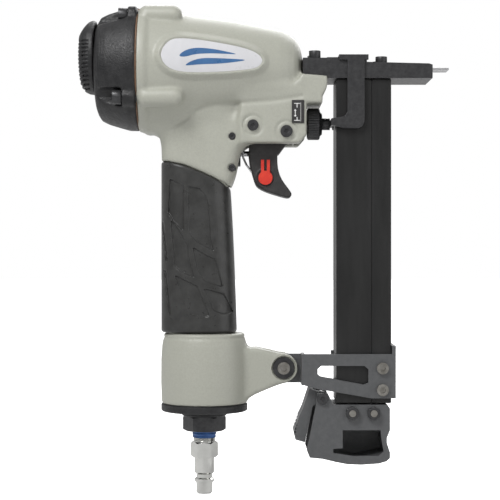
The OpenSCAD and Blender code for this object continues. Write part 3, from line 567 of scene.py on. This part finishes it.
def body_housing(mats):
    f = Field((-172, -41, -198), (-58, 41, 39))
    drum_foot, drum_top, groove_z, groove_half, groove_deep = -195.9, -154.9, -157.4, 0.45, 0.5
    slot_half, wheel_pocket, valve_bore, pin_bore = 9.4, 9.9, 7.6, 1.9
    clevis_half, washer_seat, nut_seat = 4.4, 7.0, 6.6
    crease_deep, crease_wide = 0.8, 1.3
    barrel = turned(f, BARREL)
    lip = label_distance(f)
    rise = LABEL_RISE * np.clip((LABEL_BEVEL + 0.8 - lip) / LABEL_BEVEL, 0, 1)
    inner = np.clip(lip / 1.4 + 0.25, 0, 1)
    rise = LABEL_FLOOR + (rise - LABEL_FLOOR) * inner
    shape = barrel - rise
    for (y, z) in BOLTS:
        tail = -143.5 if z < 0 else -144.8
        shape = join(shape, rod(f, "x", (y, z), (-170, tail), 5.6, 5.0), 1.8)
    trigger_box = slab_of(f, [(-111, -14), (-111, -44.4), (-77, -44.4), (-72.9, -39.8),
                              (-72.9, -21.3), (-63.9, -21.3), (-63.6, -17), (-61.5, -13),
                              (-60.9, -10), (-60.9, -5.7), (-75, -4.5), (-80, -10)],
                          (-BLOCK_HALF, BLOCK_HALF), 1.4)
    shape = join(shape, trigger_box, 5.0)
    neck_outline = [(-166, -22), (-166, -36.2), (-160.5, -38), (-157.4, -42), (-156.9, -58),
                    (-140, -64), (-118, -72), (-114.6, -65), (-112, -54), (-110, -44),
                    (-108, -22)]
    neck = slab_of(f, smooth_outline(neck_outline, 1), (-NECK_HALF, NECK_HALF), 8.0)
    neck = np.maximum(neck, GRIP_TOP_GAP - outline_distance(f, GRIP_TOP))
    shape = join(shape, neck, 9.0)
    core = block(f, (-153, -14.4, -157), (-119, 14.4, -50), 5)
    shape = join(shape, core, 1.0)
    drum_radius = np.interp(f.z, [-196, -184, -170, -162, -155.5],
                            [25.1, 25.5, 25.4, 24.8, 23.6])
    drum = np.sqrt((f.x - BASE_X) ** 2 + f.y ** 2) - drum_radius
    drum = round_join(drum, beyond(f.z, drum_foot, drum_top), 0.7)
    groove = np.maximum(
        np.abs(f.z - groove_z) - groove_half,
        -(np.sqrt((f.x - BASE_X) ** 2 + f.y ** 2) - drum_radius + groove_deep))
    arm = slab_of(f, [(-122, -157), (-111, -162.3), (-105.6, -163.6), (-101.5, -163.4),
                      (-94, -165), (BOSS[0], BOSS[1] + 8.1), (BOSS[0] + 3, BOSS[1] - 7.6),
                      (-93.8, -187), (-102.7, -190.8), (-107, -193.4), (-122, -194.5)],
                  (-ARM_HALF, ARM_HALF), 2.2)
    arm = join(arm, rod(f, "y", BOSS, (-ARM_HALF, ARM_HALF), 8.2, 1.4), 2.0)
    foot = join(cut(drum, groove, 0.4), arm, 3.4)
    shape = np.minimum(shape, foot)
    shape = cut(shape, block(f, (-108.5, -slot_half, -62), (-80.8, slot_half, -34), 0.8),
                1.0)
    shape = cut(shape, rod(f, "x", (0, SAFETY_Z), (-79.6, -50), wheel_pocket, 0.5))
    shape = cut(shape, block(f, (-79.6, -wheel_pocket, -60),
                             (-72, wheel_pocket, SAFETY_Z), 0.5))
    shape = cut(shape, rod(f, "x", (0, VALVE_Z), (-130, -108), valve_bore, 0.3))
    shape = cut(shape, block(f, (-97, -clevis_half, -190), (-70, clevis_half, -160), 0.6))
    shape = cut(shape, rod(f, "y", BOSS, (-12, -7.1), washer_seat, 0.4), 0.6)
    shape = cut(shape, rod(f, "y", BOSS, (6.4, 12), nut_seat, 0.4), 0.6)
    for at in VALVE_PINS:
        shape = cut(shape, rod(f, "y", at, (-30, 30), pin_bore, 0.1), 0.5)
    for at, radius in ((GUIDE, 5.6), (PIVOT, 5.9)):
        for side in (-1, 1):
            ring = np.abs(np.sqrt((f.x - at[0]) ** 2 + (f.z - at[1]) ** 2) - radius) - 0.5
            shape = cut(shape, round_join(ring, np.abs(f.y - side * BLOCK_HALF) - 0.7, 0.2),
                        0.6)
    valley = path_distance(f, CREASE)
    shape = shape + (crease_deep * np.exp(-(valley / crease_wide) ** 2) *
                     np.clip((np.abs(f.y) - 8) / 6, 0, 1))
    moulded("housing_shell", f, shape, mats["paint"], "root", ["body_housing"])

    film("badge_plate", smooth_outline(LABEL), 0.55, LABEL_FLOOR, mats["white"],
         ["side_badge"])
    for name, mark in zip(("badge_mark_upper", "badge_mark_lower"), MARKS):
        film(name, smooth_outline(mark), 0.12, LABEL_FLOOR + 0.5, mats["mark"], [])


def film(name, outline, thick, lift, material, nodes):
    """Thin plate that follows the barrel's near side inside an outline in X and Z."""
    xs, radii = np.array(BARREL).T
    outline = np.array(outline)
    inset, sunk, rows = 0.05, 0.2, 14
    columns = np.linspace(outline[:, 0].min() + inset, outline[:, 0].max() - inset, 90)
    points, faces = [], []
    for layer in (lift - sunk, lift + thick):
        for x in columns:
            crossings = []
            for (ax, az), (bx, bz) in zip(outline, np.roll(outline, -1, axis=0)):
                if (ax <= x) != (bx <= x):
                    crossings.append(az + (bz - az) * (x - ax) / (bx - ax))
            low, high = min(crossings), max(crossings)
            radius = np.interp(x, xs, radii) + layer
            for z in np.linspace(low, high, rows):
                points.append((x, -math.sqrt(radius ** 2 - z ** 2), z))
    count = len(columns)
    for layer in (0, 1):
        start = layer * count * rows
        for i in range(count - 1):
            for j in range(rows - 1):
                a = start + i * rows + j
                quad = (a, a + 1, a + rows + 1, a + rows)
                faces.append(quad if layer else quad[::-1])
    ring = ([(i, 0) for i in range(count)] + [(count - 1, j) for j in range(1, rows)] +
            [(i, rows - 1) for i in range(count - 2, -1, -1)] +
            [(0, j) for j in range(rows - 2, 0, -1)])
    for (i, j), (m, n) in zip(ring, ring[1:] + ring[:1]):
        a, b = i * rows + j, m * rows + n
        faces.append((a, b, b + count * rows, a + count * rows))
    piece = mesh_object(name, points, faces, material, 40)
    face_outward(piece)
    attach(piece, "root", nodes)


# ---------------------------------------------------------------- rubber grip

def grip_sleeve(mats):
    f = Field((-159, -20.2, -155.2), (-111.8, 20.2, -53.2), 0.42)
    back, foot = -157.7, -154.3
    panel_grow, panel_edge, line_wide, line_deep = 0.4, 0.45, 1.1, 0.7
    front = np.interp(f.z, [foot, -135.7, -112, -94.4, -76.7, -66],
                      [-113.3, -113.9, -114.8, -115.6, -116.6, -117.4])
    middle, depth = (back + front) / 2, (front - back) / 2
    half, power = 19.0, 2.8
    ring = (np.abs((f.x - middle) / depth) ** power +
            np.abs(f.y / half) ** power) ** (1 / power)
    body = (ring - 1) * half
    body = round_join(body, outline_distance(f, GRIP_TOP), 1.6)
    body = round_join(body, beyond(f.z, foot, 0), 1.4)
    panels = [
        [(-151.7, -65.5), (-144.5, -69.6), (-144.5, -94.5), (-149.5, -89.5),
         (-152.6, -84.3)],
        [(-141, -70.2), (-135, -71), (-131.6, -74.8), (-129.9, -80.6), (-128.8, -99.8),
         (-127, -106), (-132.2, -103.3), (-137, -100.4), (-139.2, -98), (-140.4, -94)],
        [(-151, -89.7), (-146.6, -95.4), (-142, -103.6), (-141.4, -110.4), (-138.4, -121.4),
         (-144.9, -118.6), (-148.5, -115.7)],
        [(-138, -105.4), (-130.4, -110), (-126, -111.8), (-123, -123.2), (-122, -127),
         (-131.3, -124), (-135.4, -117.5)],
        [(-148.4, -121.5), (-136.3, -127.5), (-129.6, -143.8), (-131.6, -144.6),
         (-139.6, -143.2), (-141, -140.8), (-148, -122.4)],
        [(-131.5, -129), (-121, -132), (-115.9, -141.9), (-121, -142.8), (-126.3, -140.8)],
    ]
    sunk = np.zeros((f.x.shape[0], 1, f.z.shape[2]), dtype=np.float32)
    for panel in panels:
        d = outline_distance(f, panel) - panel_grow
        sunk = np.maximum(sunk, np.clip(0.5 - d / panel_edge, 0, 1))
    side = np.clip((np.abs(f.y) - 5) / 5, 0, 1)
    body = body + sunk * side
    for x0, z0, x1, z1 in ((-157, -89.7, -154.4, -113), (-155.6, -118, -152.4, -144.5)):
        line = outline_distance(f, [(x0, z0), (x0 + line_wide, z0), (x1 + line_wide, z1),
                                    (x1, z1)])
        body = body + line_deep * np.clip(0.5 - line / 0.5, 0, 1) * side
    moulded("grip_rubber", f, body, mats["rubber"], "root", ["grip_sleeve"],
            relax=0, smooth_angle=50)


# ---------------------------------------------------------------- rear head

BEHIND = -215  # clear of everything at the back


def head_cap(mats):
    f = Field((-197, -41, -38), (-170, 41, 39), 0.7)
    boss_r, seat_r, notch_r, ridge_r, bore = 5.2, 5.6, 6.2, 30.2, 26.0
    shape = turned(f, [(-195.4, 24), (-194.6, 26.8), (-193.6, 28.6), (-191.2, 31),
                       (-188.2, 32.4), (-182.3, 34.2), (-176.2, 35.9), (-171, 36)])
    for (y, z), seat in zip(BOLTS, BOLT_SEATS):
        shape = join(shape, rod(f, "x", (y, z), (seat, -171), boss_r, 0.7), 1.6)
    for (y, z), seat in zip(BOLTS, BOLT_SEATS):
        shape = cut(shape, rod(f, "x", (y, z), (BEHIND, seat), seat_r, 0.4), 1.2)
        outward = (y * 1.2, z * 1.2)
        shape = cut(shape, rod(f, "x", outward, (BEHIND, seat), notch_r, 0.4), 1.2)
    ridge = np.abs(np.sqrt(f.y ** 2 + f.z ** 2) - ridge_r) - 0.5
    shape = np.minimum(shape, np.maximum(ridge, shape - 0.35))
    shape = cut(shape, rod(f, "x", (0, 0), (-190, -160), bore, 0.5))
    moulded("head_shell", f, shape, mats["cast"], "root", ["head_cap"])


def exhaust_cover(mats):
    f = Field((-207, -24, -16), (-194.5, 24, 30.5), 0.5)
    shape = turned(f, [(-205.6, 12), (-205.1, 16.2), (-204, 18.4), (-202.4, 20.2),
                       (-200, 21.4), (-197, 21.8), (-196, 21.5)], EXHAUST_Z)
    radial = np.sqrt(f.y ** 2 + (f.z - EXHAUST_Z) ** 2)
    # Plane that slants the cover's upper edge
    hood = (f.z - 21.0) * 0.53 - (f.x + 203.9) * 0.85
    shape = -join(-shape, -hood, 1.2)
    grooves, groove_top, pitch, groove_half, groove_deep = 13, 7.5, 2.2, 0.45, 0.8
    for i in range(grooves):
        z = EXHAUST_Z + groove_top - i * pitch
        groove = np.maximum(np.abs(f.z - z) - groove_half, f.x + 199.0)
        deep = np.maximum(groove, -(shape + groove_deep))
        shape = cut(shape, deep, 0.4)
    shape = cut(shape, rod(f, "x", (0, EXHAUST_Z), (BEHIND, -202.7), 5.4, 0.3), 0.7)
    shape = cut(shape, np.maximum(radial - 19.2, beyond(f.x, -202, -190)), 0.5)
    hub = rod(f, "x", (0, EXHAUST_Z), (-203, -196), 6, 0.3)
    shape = np.minimum(shape, np.maximum(hub, -(radial - 2.55)))
    moulded("exhaust_hood", f, shape, mats["cast"], "exhaust", ["exhaust_cover"])


# ---------------------------------------------------------------- trigger

def trigger(mats):
    f = Field((-110, -10.5, -77.5), (-79, 10.5, -32.5), 0.4)
    hollow_half, pivot_bore, selector_bore, dial_r = 6.5, 1.85, 2.05, 5.4
    rim_half, stroke_long, stroke_wide, stroke_high = 0.35, 1.9, 0.3, 0.25
    edge = smooth_outline([(-88.8, -43.6), (-89.6, -50), (-89.5, -57), (-88.4, -62),
                           (-86.3, -66.1), (-82.4, -71.2), (-81, -73.6), (-82.2, -75.7),
                           (-85, -75.6), (-95.6, -72.4), (-100.4, -70.1), (-102.4, -68),
                           (-103.6, -64.4), (-106.6, -53.8), (-106.1, -43.6)], 1)
    shape = slab_of(f, edge, (-TRIGGER_HALF, TRIGGER_HALF), 1.5)
    ears = slab_of(f, [(-106, -50), (-88.7, -50), (-81.4, -40), (-81.4, -35.4),
                       (-87, -34.6), (-106, -44)], (-TRIGGER_HALF, TRIGGER_HALF), 0.6)
    ears = round_join(ears, np.minimum(
        f.z + 43.4 + 0 * f.x, np.sqrt((f.x - PIVOT[0]) ** 2 + (f.z - PIVOT[1]) ** 2) - 3.5 +
        np.clip(-f.z - 41, 0, 9) * -1.2), 0.3)
    shape = join(shape, ears, 0.6)
    hollow = slab_of(f, [(-112, -30), (-78, -30), (-78, -45), (-91.6, -45.6), (-92, -57),
                         (-90.9, -63), (-88.9, -67.5), (-96, -69.6), (-101, -67.2),
                         (-112, -60)], (-hollow_half, hollow_half), 0.6)
    shape = cut(shape, hollow, 0.5)
    shape = cut(shape, rod(f, "y", PIVOT, (-15, 15), pivot_bore, 0.1), 0.2)
    shape = cut(shape, rod(f, "y", SELECTOR, (-15, 15), selector_bore, 0.1), 0.2)
    for side in (-1, 1):
        dish = np.sqrt((f.x - SELECTOR[0]) ** 2 + (f.z - SELECTOR[1]) ** 2) - dial_r
        rim = np.maximum(np.abs(dish) - rim_half,
                         np.abs(f.y - side * TRIGGER_HALF) - rim_half)
        shape = np.minimum(shape, rim)
    for tilt, at in ((0.5, (-94.6, -48.5)), (-0.35, (-92, -59.5)), (0.9, (-101.6, -50))):
        ux, uz = math.cos(tilt + 1.2), math.sin(tilt + 1.2)
        along = np.abs((f.x - at[0]) * ux + (f.z - at[1]) * uz) - stroke_long
        across = np.abs(-(f.x - at[0]) * uz + (f.z - at[1]) * ux) - stroke_wide
        for side in (-1, 1):
            stroke = np.maximum(np.maximum(along, across),
                                np.abs(f.y - side * TRIGGER_HALF) - stroke_high)
            shape = np.minimum(shape, stroke)
    moulded("trigger_body", f, shape, mats["plastic"], "trigger", ["trigger"])


# ---------------------------------------------------------------- turned and knurled pieces

def lathe(name, profile, at, axis, material, body, nodes, steps=72, ripple=None,
          smooth_angle=32):
    """Turns (along, radius) points about an axis; ripple changes the radius by angle."""
    points, faces = [], []
    for along, radius in profile:
        for j in range(steps):
            a = 2 * math.pi * j / steps
            r = radius + (ripple(a, along, radius) if ripple else 0)
            u, v = r * math.cos(a), r * math.sin(a)
            if axis == "z":
                points.append((at[0] + u, at[1] + v, along))
            else:
                points.append((along, at[0] + u, at[1] + v))
    for row in range(0, (len(profile) - 1) * steps, steps):
        after = row + steps
        for j in range(steps):
            k = (j + 1) % steps
            faces.append((row + j, row + k, after + k, after + j))
    piece = mesh_object(name, points, faces, material, smooth_angle)
    face_outward(piece, weld=True)
    attach(piece, body, nodes)


SIDES = 6


def hexagon(name, across_flats, span, at, material, nodes, hole, chamfer=0.7):
    """Hexagon with turned chamfers at both ends, along Z, with a hole."""
    steps = SIDES * 12
    points, faces = [], []
    flat = across_flats / 2
    # Each row's height and the limit on its radius in half flats; None marks the hole's rim
    slopes = [(chamfer * t, 1.01 + 0.145 * t) for t in (0, 0.25, 0.5, 0.75, 1)]
    rows = ([(span[0], None)] + [(span[0] + up, limit) for up, limit in slopes] +
            [(span[1] - up, limit) for up, limit in slopes[::-1]] + [(span[1], None)])
    for z, limit in rows:
        for j in range(steps):
            a = 2 * math.pi * j / steps
            turn = (a + math.pi / SIDES) % (2 * math.pi / SIDES) - math.pi / SIDES
            r = min(flat / math.cos(turn), flat * limit) if limit else hole
            a += math.pi / SIDES
            points.append((at[0] + r * math.cos(a), at[1] + r * math.sin(a), z))
    for row in range(0, len(points), steps):
        after = (row + steps) % len(points)
        for j in range(steps):
            k = (j + 1) % steps
            faces.append((row + j, row + k, after + k, after + j))
    piece = mesh_object(name, points, faces, material, 25)
    face_outward(piece)
    attach(piece, "root", nodes)


def inlet(mats):
    """Cap, bushing, sealed thread and quick-release plug under the base."""
    at = (BASE_X, 0)
    bore, core, crest, collar = 3.7, 6.0, 6.55, 5.9
    hexagon_top, hexagon_foot = -219, -228
    lathe("base_cap", [(-196.4, 20.4), (-196.4, 25.0), (-196.8, 25.4), (-200.0, 25.4),
                       (-200.6, 24.8), (-200.6, 13.0), (-196.4, 13.0)], at, "z",
          mats["cast"], "root", ["end_cap"], steps=120)
    hexagon("bushing_hexagon", 22, (-212.4, -203.7), at, mats["oxide"], ["inlet_bushing"],
            6.6)
    lathe("bushing_collar", [(-200.6, 6.7), (-200.6, 12.7), (-201.1, 13.2), (-203.1, 13.2),
                             (-203.7, 12.6), (-203.7, 6.7), (-200.6, 6.7)], at, "z",
          mats["cast"], "root", [])
    lathe("sealant_band", [(-212.4, 6.6), (-212.5, 7.2), (-213.4, 6.8), (-214.2, 7.15),
                           (-215.2, 6.7), (-216.0, 7.0), (-216.4, 6.6)], at, "z",
          mats["sealant"], "root", ["thread_seal"],
          ripple=lambda a, z, r: 0.12 * math.sin(5 * a + z) * (r > 6.65))
    thread = [(-203.6, bore), (-203.6, core), (-216.3, core)]
    z = -216.4
    while z > -218.6:
        thread += [(z, core), (z - 0.25, crest), (z - 0.4, crest), (z - 0.65, core)]
        z -= 0.75
    thread += [(hexagon_top, core), (hexagon_top, bore)]
    lathe("plug_thread", thread, at, "z", mats["chrome"], "root", [])
    hexagon("plug_hexagon", 14, (hexagon_foot, hexagon_top), at, mats["chrome"],
            ["air_plug"], bore, 0.8)
    lathe("plug_nipple", [(hexagon_foot, bore), (hexagon_foot, collar), (-236.9, collar),
                          (-237.6, 5.2), (-238.1, 4.75), (-239.9, 4.75), (-240.4, 5.2),
                          (-240.8, collar), (-242.0, collar), (-242.7, 5.2), (-243.4, 4.8),
                          (-248.6, 4.8), (-249.3, 4.2), (-249.3, bore),
                          (hexagon_foot, bore)], at, "z",
          mats["chrome"], "root", [])


def depth_wheel(mats):
    ridges, depth, plain_r = 36, 0.35, 8.6

    def knurl(angle, along, radius):
        return -depth * (1 - abs(math.sin(ridges / 2 * angle))) * (radius > plain_r)

    lathe("wheel_knurled", [(-68, 2.3), (-72, 2.3), (-72, 8.4), (-71.4, 9.3), (-65.2, 9.3),
                            (-64.6, 8.6), (-64.6, 7.4), (-63.3, 6.2), (-63.2, 3.85),
                            (-68, 3.85), (-68, 2.3)], (0, SAFETY_Z), "x", mats["oxide"],
          "wheel", ["depth_wheel"], steps=288, ripple=knurl)


def pictogram(mats):
    """Plate with a double arrow between two driven nail heads; it carries no lettering."""
    f = Field((-82.4, -22.4, -34), (-73.6, -19.8, -19), 0.25)
    y0 = -BLOCK_HALF
    plate = block(f, (-81.6, y0 - 0.7, -33.2), (-74.4, y0 - 0.02, -19.8), 0.3)
    moulded("depth_plate_base", f, plate, mats["plastic"], "root", ["depth_plate"],
            relax=0)
    marks = [
        [(-80.3, -22.2), (-80.3, -21.6), (-76.8, -21.6), (-76.8, -22.2), (-78.2, -22.2),
         (-78.2, -24.4), (-78.9, -24.4), (-78.9, -22.2)],
        [(-80.3, -32), (-80.3, -31.4), (-78.9, -31.4), (-78.9, -29.6), (-78.2, -29.6),
         (-78.2, -31.4), (-76.8, -31.4), (-76.8, -32)],
        [(-79.6, -25), (-78.6, -26.2), (-79.3, -26.2), (-79.3, -28.6), (-78.6, -28.6),
         (-79.6, -29.8), (-80.6, -28.6), (-79.9, -28.6), (-79.9, -26.2), (-80.6, -26.2)],
        [(-76.6, -21.2), (-76.2, -21.2), (-76.2, -32.4), (-76.6, -32.4)],
    ]
    flat = outline_distance(f, marks[0])
    for mark in marks[1:]:
        flat = np.minimum(flat, outline_distance(f, mark))
    ink = np.maximum(flat, np.abs(f.y - (y0 - 0.62)) - 0.18)
    moulded("depth_plate_marks", f, ink, mats["pictogram"], "root", [],
            relax=0)


# ---------------------------------------------------------------- kept CAD shapes

KEPT = {
    "steel": ["safety_yoke", "safety_spring", "driver_blade", "contact_lever",
              "trigger_spring", "valve_stem", "valve_spring", "head_valve_spring",
              "magazine_rail", "pusher_spring", "bracket_bush", "bracket_nut",
              "latch_spring", "contact_tip"],
    "oxide": ["head_cap_screws", "exhaust_screw", "nose_body", "nose_front_plate",
              "nose_screws", "contact_arm", "contact_stem", "guide_pin",
              "trigger_pivot_pin", "end_block", "cage_nuts", "latch_pin", "valve_pins",
              "bracket_washer"],
    "sheet": ["magazine_rear_channel", "magazine_front_channel"],
    "pressed": ["magazine_bracket", "end_cage", "latch_lever"],
    "alloy": ["cylinder_liner", "piston"],
    "dull": ["bracket_bolt", "bracket_screws", "cage_bolts"],
    "rubber": ["liner_o_rings", "bumper", "piston_o_ring", "valve_o_rings",
               "end_cap_gasket"],
    "plastic": ["head_valve", "valve_bushing"],
    "gasket": ["head_gasket"],
    "red": ["mode_selector", "pusher"],
}
SPRINGS = ("safety_spring", "valve_spring", "head_valve_spring", "pusher_spring",
           "latch_spring", "trigger_spring")
# Spring, its joint, the axis it shortens along, its fixed end and the joint's travel, in mm
SHORTENING = (("head_valve_spring", "head_valve_slide", 0, -187, 4.0),
              ("valve_spring", "valve_stem_slide", 0, -127, 2.7),
              ("safety_spring", "safety_slide", 0, -88, 7.0),
              ("pusher_spring", "pusher_slide", 2, -196, 130.0))
SMALL_BEVEL = 0.25
BEVELS = {"magazine_rear_channel": 0.6, "magazine_front_channel": 0.6, "end_cage": 0.9,
          "latch_lever": 0.7, "nose_body": 0.5, "nose_front_plate": 0.5,
          "magazine_bracket": 0.4, "contact_arm": 0.7, "mode_selector": 0.35}


def keep_cad(mats):
    """Gives each remaining CAD node its material and softened edges."""
    for key, nodes in KEPT.items():
        for node in nodes:
            piece = bpy.data.objects[node]
            piece.data.materials.clear()
            piece.data.materials.append(mats[key])
            if node in SPRINGS:
                continue
            weld = piece.modifiers.new("weld", "WELD")
            weld.merge_threshold = 1e-6
            bevel = piece.modifiers.new("bevel", "BEVEL")
            bevel.width = BEVELS.get(node, SMALL_BEVEL) * MM
            bevel.segments = 2
            bevel.limit_method = "ANGLE"
            bevel.angle_limit = math.radians(38)
            bevel.harden_normals = True


def shorten_springs():
    """Gives each spring listed in SHORTENING a mesh of its own."""
    for node, joint, axis, fixed, travel in SHORTENING:
        piece = bpy.data.objects[node]
        direction, anchor = [0.0, 0.0, 0.0], [0.0, 0.0, 0.0]
        direction[axis] = 1.0
        anchor[axis] = fixed * MM
        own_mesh(piece)


def main():
    place_camera()
    lay_floor()
    light_world()
    hang_lamps()
    mats = make_materials()
    body_housing(mats)
    grip_sleeve(mats)
    head_cap(mats)
    exhaust_cover(mats)
    trigger(mats)
    inlet(mats)
    depth_wheel(mats)
    pictogram(mats)
    keep_cad(mats)
    shorten_springs()


main()
